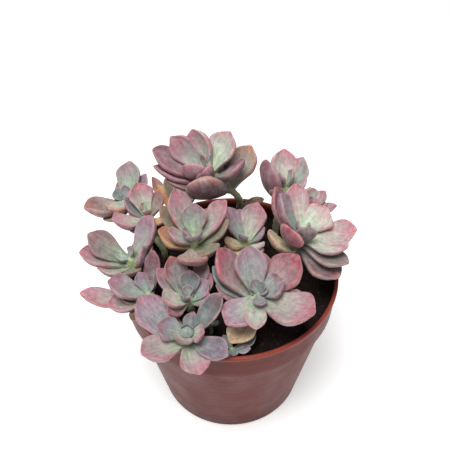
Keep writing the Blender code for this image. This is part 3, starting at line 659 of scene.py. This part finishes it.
def paintLeaves():
    made, tree, shader = newMaterial("fleshyLeaf", 0.58, 0.35)
    colour = addNode(tree, "ShaderNodeAttribute", attribute_name="leafColour").outputs["Color"]
    place = addNode(tree, "ShaderNodeAttribute", attribute_name="leafPlace").outputs["Vector"]
    streaks = rampNode(tree, noiseNode(tree, place, 0.9, 4, 0.6, (1, 0.16, 1)), [(0.3, 0.72), (0.7, 1.22)])
    colour = mixNode(tree, "MULTIPLY", 0.9, colour, streaks)
    mottle = rampNode(tree, noiseNode(tree, place, 0.45, 4, 0.65), [(0.3, 0.74), (0.7, 1.20)])
    colour = mixNode(tree, "MULTIPLY", 0.9, colour, mottle)
    bloom = rampNode(tree, noiseNode(tree, place, 0.28, 3, 0.6), [(0.42, 0.0), (0.75, 0.34)])
    colour = mixNode(tree, "MIX", bloom, colour, (*tint("b9b6b6"), 1))
    blotch = rampNode(tree, noiseNode(tree, place, 0.75, 3, 0.7), [(0.62, 0.0), (0.70, 0.45)])
    colour = mixNode(tree, "MIX", blotch, colour, (*tint("b06a62"), 1))
    scars = rampNode(tree, noiseNode(tree, place, 1.9, 2, 0.6), [(0.70, 0.0), (0.75, 0.7)])
    colour = mixNode(tree, "MIX", scars, colour, (*tint("7d5248"), 1))
    tree.links.new(colour, shader.inputs["Base Color"])
    dull = rampNode(tree, noiseNode(tree, place, 0.3, 3, 0.6), [(0.3, 0.48), (0.75, 0.72)])
    tree.links.new(dull, shader.inputs["Roughness"])
    ridges = noiseNode(tree, place, 0.8, 3, 0.5, (1, 0.14, 1))
    first = bumpNode(tree, shader, ridges, 0.5, 0.0009)
    bumpNode(tree, shader, noiseNode(tree, place, 2.6, 4, 0.65), 0.22, 0.0003, first)
    shader.inputs["Subsurface Weight"].default_value = 0.14
    shader.inputs["Subsurface Radius"].default_value = (1.0, 0.55, 0.45)
    shader.inputs["Subsurface Scale"].default_value = 0.0016
    shader.inputs["Sheen Weight"].default_value = 0.12
    shader.inputs["Sheen Roughness"].default_value = 0.5
    return made


def makeBlank(sides, rings):
    # a ball with its faces turned in, because bending it into a leaf mirrors it and turns them out
    form = bmesh.new()
    bmesh.ops.create_uvsphere(form, u_segments=sides, v_segments=rings, radius=1)
    bmesh.ops.reverse_faces(form, faces=form.faces)
    mesh = bpy.data.meshes.new("leafBlank")
    form.to_mesh(mesh)
    form.free()
    return mesh


def leafAxes(root, tip, axis, roll):
    along = (tip - root).normalized()
    up = (axis - along * axis.dot(along)).normalized()
    up = Matrix.Rotation(math.radians(roll), 3, along) @ up
    return along, up, along.cross(up)


def shapeLeaf(blank, root, tip, axis, width, roll, drop, chance, crumple=0.0):
    # bends a ball into a spoon-shaped leaf; gives its points, and where each lies on the leaf
    points = np.empty(len(blank.vertices) * 3)
    blank.vertices.foreach_get("co", points)
    points = points.reshape(-1, 3)
    share = (1 + points[:, 2]) / 2
    turn = np.arctan2(points[:, 1], points[:, 0])
    across = np.sign(np.cos(turn)) * np.abs(np.cos(turn)) ** 0.78
    lift = np.sign(np.sin(turn)) * np.abs(np.sin(turn)) ** 0.82
    along, up, side = leafAxes(root, tip, axis, roll)
    length = (tip - root).length
    blunt = chance.uniform(*leafForm["blunt"])
    peak = chance.uniform(*leafForm["peak"])
    fold = chance.uniform(*leafForm["fold"]) * (drop < leafForm["lowDrop"])
    neck, belly = leafForm["neck"], leafForm["belly"]
    swell = neck + (1 - neck) * np.sin(math.pi / 2 * np.clip(share / belly, 0, 1)) ** 1.8
    taper = np.clip(1 - np.clip((share - belly) / (1 - belly), 0, 1) ** blunt, 0, 1) ** peak
    close = np.sqrt(np.clip(share / 0.02, 0, 1))
    half = width / 2 * swell * taper * close
    thick = (1 - 0.14 * ease(share, 0.3, 0.64)) * close
    thick *= np.sqrt(np.clip(1 - np.clip((share - 0.5) / 0.5, 0, 1) ** 2.6, 0, 1))
    deep = width * leafForm["depthShare"] * thick
    crest = deep * leafForm["crownShare"]
    seed = chance.uniform(0, 90)
    wave = np.array([noise.noise(Vector((s * 1.3 + seed, t * 2.2, 0.4))) for s, t in zip(across, share)])
    ridge = np.array([noise.noise(Vector((s * 3.1 - seed, t * 1.1, 2.7))) for s, t in zip(across, share)])
    cup = leafForm["lowCup" if drop >= leafForm["lowDrop"] else "cup"]
    high = cup * half * across ** 2 + np.where(lift > 0, crest, deep) * lift
    upper = ease(lift, 0, 0.3)
    rim = np.exp(-((np.abs(across) - leafForm["rimAt"]) / leafForm["rimWidth"]) ** 2)
    rim *= ease(share, 0.12, 0.5) * upper
    trough = np.exp(-(across / leafForm["troughWidth"]) ** 2) * upper * (1 - 0.7 * share)
    folded = fold * np.abs(across) * ease(share, 0.05, 0.3)
    high += half * (folded + leafForm["rim"] * rim - leafForm["trough"] * trough)
    bigness = width / leafForm["usualWidth"]
    high += leafForm["relief"] * (ridge * np.clip(lift, 0, 1) + 0.8 * wave) * bigness * thick
    high += crumple * wave * width * 0.5
    ragged = np.array([noise.noise(Vector((s * 1.6 + seed, t * 3.6, 7.7))) for s, t in zip(across, share)])
    ragged *= leafForm["ragged"] * ease(share, 0.2, 0.6) * (1 - 0.75 * ease(share, 0.74, 1))
    wide = half * (across * (1 + leafForm["wavy"] * wave) + ragged)
    twist = np.radians(leafForm["twist"]) * chance.uniform(-1, 1) * (share - 0.4) * ease(share, 0, 0.3)
    wide, high = wide * np.cos(twist) - high * np.sin(twist), wide * np.sin(twist) + high * np.cos(twist)
    nib = np.clip((share - leafForm["mucroAt"]) / (1 - leafForm["mucroAt"]), 0, 1) ** 1.5
    point = leafForm["mucro"] * min(bigness, 1)
    far = share * length - point * (1 - nib) * ease(share, 0.45, 0.95)
    sag = -leafForm["bow"] * length * np.sin(math.pi * share)
    sag += leafForm["curl"] * chance.uniform(-0.5, 1.0) * length * ease(share, 0.55, 1.0)
    drift = leafForm["sway"] * chance.uniform(-1, 1) * length * np.sin(math.pi * share)
    placed = (np.array(root)[None, :] + np.array(along)[None, :] * far[:, None]
              + np.array(up)[None, :] * (sag + high)[:, None]
              + np.array(side)[None, :] * (wide + drift)[:, None])
    return placed, share, across, lift, half, length


def toneLeaf(tone, share, across, lift, chance):
    base, middle, tip, margin, under = (tint(code) for code in tones[tone])
    seed = chance.uniform(0, 90)
    drift, patch, flush = (
        np.array([noise.noise(Vector((s * wide + seed, t * far, deep))) for s, t in zip(across, share)])
        for wide, far, deep in ((1.1, 1.8, 5.1), (1.9, 3.0, 1.3), (0.9, 1.6, 8.2))
    )
    spread = share + 0.26 * drift
    colours = mixTints(base[None, :], middle[None, :], ease(spread, 0.14, 0.56))
    colours = mixTints(colours, tip[None, :], ease(spread, 0.58, 1.0))
    channel = (1 - np.abs(across)) ** 1.5 * (1 - ease(share, 0.35, 0.85))
    colours = mixTints(colours, base[None, :] * 1.06, 0.5 * channel)
    colours = mixTints(colours, tip[None, :], 0.55 * ease(flush, 0.05, 0.5) * ease(share, 0.15, 0.6))
    brink = 1 - (1 - ease(np.abs(across), 0.72, 0.95)) * (1 - ease(share, 0.88, 0.97))
    brink *= ease(share, 0.14, 0.5) * np.clip(0.58 + 1.4 * patch, 0.05, 1)
    colours = mixTints(colours, margin[None, :], 0.85 * brink)
    # a thin pale line along the very edge is a painted highlight, as of a thick edge catching light
    edgeHighlight = ease(np.abs(across), 0.93, 1.0) * ease(share, 0.2, 0.5)
    colours = mixTints(colours, (margin * 0.5 + tint("d8c4c0") * 0.5)[None, :], 0.5 * edgeHighlight)
    below = mixTints(under[None, :] * 1.05, (under * 0.55 + tip * 0.45)[None, :], ease(spread, 0.35, 1.0))
    below = mixTints(below, margin[None, :], 0.45 * brink)
    colours = mixTints(colours, below, ease(-lift, 0.10, 0.60))
    return colours * chance.uniform(0.92, 1.06)


def rootAndTip(head, axis, leaf, bend):
    bearing, rise, reach, width, drop = leaf[:5]
    node = Vector(head["heart"]) - axis * drop
    chord = Vector(head["heart"]) + heading(bearing, rise) * reach - node
    flat = math.degrees(math.atan2(chord.y, chord.x)) + bend[2]
    steep = math.degrees(math.asin(chord.z / chord.length)) + bend[1]
    chord = heading(flat, steep) * chord.length * bend[3]
    out = (chord - axis * axis.dot(chord)).normalized()
    return node + out * leafForm["rootOffset"] * min(1.0, width / 9), node + chord


def settleLeaf(head, axis, leaf, found):
    # the CAD bends a leaf clear of its neighbours: the bend whose tip and last edges are points of its node
    close = 0.06 * mm
    for bend in bends:
        root, tip = rootAndTip(head, axis, leaf, bend)
        if found.find(tip * mm)[2] > close:
            continue
        width = leaf[3]
        share, spread = leafForm["leafSection" if width > leafForm["budWidth"] else "budSection"]
        along, up, side = leafAxes(root, tip, axis, leaf[5])
        length, half = (tip - root).length, width / 2 * spread
        middle = root + along * length * share - up * leafForm["bow"] * length * math.sin(math.pi * share)
        middle += up * leafForm["cup"] * half
        if min(found.find((middle + side * half * way) * mm)[2] for way in (-1, 1)) < close:
            return root, tip, bend
    return *rootAndTip(head, axis, leaf, bends[0]), None


def stemPath(name, head, axis):
    scale = 0.5 if name.startswith("offset") else 1.0
    heart = Vector(head["heart"])
    lowest = max(leaf[4] for leaf in head["leaves"])
    foot = Vector((*head["foot"], peat["top"] + 2.5 * scale))
    collar = heart - axis * (lowest + leafForm["coreFoot"] * scale)
    pull = (collar - foot).length / 3
    above, below = foot + Vector((0, 0, pull)), collar - axis * pull
    thin, core = leafForm["stemRadius"] * scale, leafForm["coreRadius"] * scale
    start = Vector((*head["foot"], peat["top"] - leafForm["stemDepth"] + leafForm["gap"]))
    path, radii = [start, start + Vector((0, 0, 0.3))], [0.0, thin]
    for s in np.linspace(0, 1, 22):
        left = 1 - s
        lower = foot * left ** 3 + above * 3 * s * left ** 2
        path.append(lower + below * 3 * s ** 2 * left + collar * s ** 3)
        radii.append(thin * (1 + 0.07 * math.sin(s * 41 + foot.x)))
    for away, radius in ((lowest + scale, 1.0), (lowest * 0.5 + 1, 0.95), (1.2 * scale, 0.8), (0.2, 0.45)):
        path.append(heart - axis * away)
        radii.append(core * radius)
    path.append(heart + axis * 0.5 * scale)
    radii.append(0.0)
    return path, radii


def growBud(form, radius, heart, axis, colours, places):
    # a closed ball of young leaves in the heart
    ball = bmesh.new()
    at = Matrix.Translation(heart + axis * 1.5) @ Matrix.Diagonal((1, 1, 0.85, 1))
    bmesh.ops.create_uvsphere(ball, u_segments=24, v_segments=16, radius=radius, matrix=at)
    for point in ball.verts:
        point.co += (point.co - heart) * 0.12 * noise.noise(point.co * 0.3)
        colours.append(tint(tones["bud"][0]) * (1.0 + 0.3 * noise.noise(point.co * 0.5)))
        places.append(point.co[:])
    addForm(form, ball)


def makeRosette(name, head, surface, blanks, index):
    chance = random.Random(100 + index)
    axis = heading(head["lean"][0], 90 - head["lean"][1])
    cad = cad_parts[name].data.vertices
    found = kdtree.KDTree(len(cad))
    for number, point in enumerate(cad):
        found.insert(point.co, number)
    found.balance()
    form = bmesh.new()
    colours, places, missed = [], [], 0
    path, radii = stemPath(name, head, axis)
    addForm(form, tubeAlong(path, radii, 16))
    heart = Vector(head["heart"])
    for point in form.verts:
        near = 1 - min((point.co - heart).length / 40, 1)
        rough = noise.noise(point.co * 0.6)
        base, middle, tip = (tint(code) for code in tones["stem"][:3])
        shade = base + (middle - base) * near + (tip - middle) * max(near - 0.7, 0) * 2
        colours.append(shade * (1 + 0.3 * rough))
        places.append(point.co[:])
    blades = []
    for leaf in head["leaves"]:
        root, tip, bend = settleLeaf(head, axis, leaf, found)
        above = axis * (leaf[7] if len(leaf) > 7 else 0)
        blades.append((leaf, root + above, tip + above, bend, axis))
    if name == "rosette_top":
        leaf = (0, 0, 0, dryLeaf["width"], 0, 0, "dry")
        blades.append((leaf, Vector(dryLeaf["root"]), Vector(dryLeaf["tip"]), True, Vector((0, 0, 1))))
    for count, (leaf, root, tip, bend, upwards) in enumerate(blades):
        missed += bend is None
        width, roll, tone = leaf[3] * (leaf[8] if len(leaf) > 8 else 1), leaf[5], leaf[6]
        blank = blanks["leaf" if leaf[3] > leafForm["budWidth"] else "bud"].copy()
        crumple = dryLeaf["crumple"] if tone == "dry" else 0.0
        placed, share, across, lift, half, length = shapeLeaf(
            blank, root, tip, upwards, width, roll, leaf[4], chance, crumple)
        blank.vertices.foreach_set("co", placed.ravel())
        form.from_mesh(blank)
        bpy.data.meshes.remove(blank)
        # a dimmed rosette's leaves are darkened as painted shade
        colours.extend(toneLeaf(tone, share, across, lift, chance) * head.get("dim", 1.0))
        own = index * 31 + count * 7.3
        sideways = across * half + 20 * (lift < -0.05)
        places.extend(np.column_stack((sideways, share * length, np.full(len(share), own))))
    if "bud" in head:
        growBud(form, head["bud"], heart, axis, colours, places)
    words = name.split("_")
    plainName = words[0] + "".join(word.title() for word in words[1:])
    piece = finishPiece(form, plainName, surface, name)
    mesh = piece.data
    shades = np.ones((len(colours), 4))
    shades[:, :3] = np.clip(colours, 0, 1)
    mesh.color_attributes.new("leafColour", "FLOAT_COLOR", "POINT").data.foreach_set(
        "color", shades.astype(np.float32).ravel())
    mesh.attributes.new("leafPlace", "FLOAT_VECTOR", "POINT").data.foreach_set(
        "vector", np.array(places, dtype=np.float32).ravel())
    print(piece.name, "grown,", len(blades), "leaves,", missed, "not found in the CAD,",
          len(mesh.polygons), "faces")


# The studio: a white floor, soft light, and a camera where the photograph was taken from.
studio = {
    "world": 0.27, "floorGlow": 0.38,
    "lamps": {
        "softTop": {"at": (-0.14, -0.22, 1.0), "size": 0.55, "power": 9.6},
        "softSide": {"at": (0.8, -0.5, 0.7), "size": 0.8, "power": 1.6},
    },
    "cameraAt": (0.0, -0.2294, 0.3446), "yaw": -0.566, "pitch": 43.4, "roll": -1.0, "lens": 48.7,
}


def makeStudio():
    floorForm = bmesh.new()
    bmesh.ops.create_grid(floorForm, x_segments=1, y_segments=1, size=3)
    mesh = bpy.data.meshes.new("studioFloor")
    floorForm.to_mesh(mesh)
    floorForm.free()
    made, _, shader = newMaterial("paperWhite", 0.8, 0.1)
    shader.inputs["Base Color"].default_value = (0.94, 0.94, 0.94, 1)
    shader.inputs["Emission Color"].default_value = (1, 1, 1, 1)
    shader.inputs["Emission Strength"].default_value = studio["floorGlow"]
    mesh.materials.append(made)
    floor = bpy.data.objects.new("studioFloor", mesh)
    bpy.context.scene.collection.objects.link(floor)
    world = bpy.data.worlds.new("studioLight")
    world.use_nodes = True
    world.node_tree.nodes["Background"].inputs["Color"].default_value = (1, 1, 1, 1)
    world.node_tree.nodes["Background"].inputs["Strength"].default_value = studio["world"]
    bpy.context.scene.world = world
    for name, lamp in studio["lamps"].items():
        light = bpy.data.lights.new(name, "AREA")
        light.shape = "DISK"
        light.size = lamp["size"]
        light.energy = lamp["power"]
        stand = bpy.data.objects.new(name, light)
        stand.location = lamp["at"]
        stand.rotation_euler = (Vector((0, 0, 0.09)) - Vector(lamp["at"])).to_track_quat("-Z", "Y").to_euler()
        bpy.context.scene.collection.objects.link(stand)
    print("studio lit,", len(studio["lamps"]), "lamps")


def makeCamera():
    yaw, pitch, roll = (math.radians(studio[key]) for key in ("yaw", "pitch", "roll"))
    ahead = Vector((math.sin(yaw) * math.cos(pitch), math.cos(yaw) * math.cos(pitch), -math.sin(pitch)))
    right = Vector((math.cos(yaw), -math.sin(yaw), 0))
    up = right.cross(ahead)
    right, up = right * math.cos(roll) + up * math.sin(roll), up * math.cos(roll) - right * math.sin(roll)
    camera = bpy.data.objects.new("studioCamera", bpy.data.cameras.new("studioCamera"))
    camera.data.lens = studio["lens"]
    camera.data.sensor_width = 36
    turned = Matrix((right, up, -ahead)).transposed().to_4x4()
    camera.matrix_world = Matrix.Translation(studio["cameraAt"]) @ turned
    bpy.context.scene.collection.objects.link(camera)
    bpy.context.scene.camera = camera
    print("camera set")


makePot()
makePeat()
leafSurface = paintLeaves()
leafBlanks = {kind: makeBlank(*leafForm[kind + "Mesh"]) for kind in ("leaf", "bud")}
for index, (name, head) in enumerate(rosettes.items()):
    makeRosette(name, head, leafSurface, leafBlanks, index)
makeStudio()
makeCamera()
bpy.context.scene.view_settings.view_transform = "Standard"
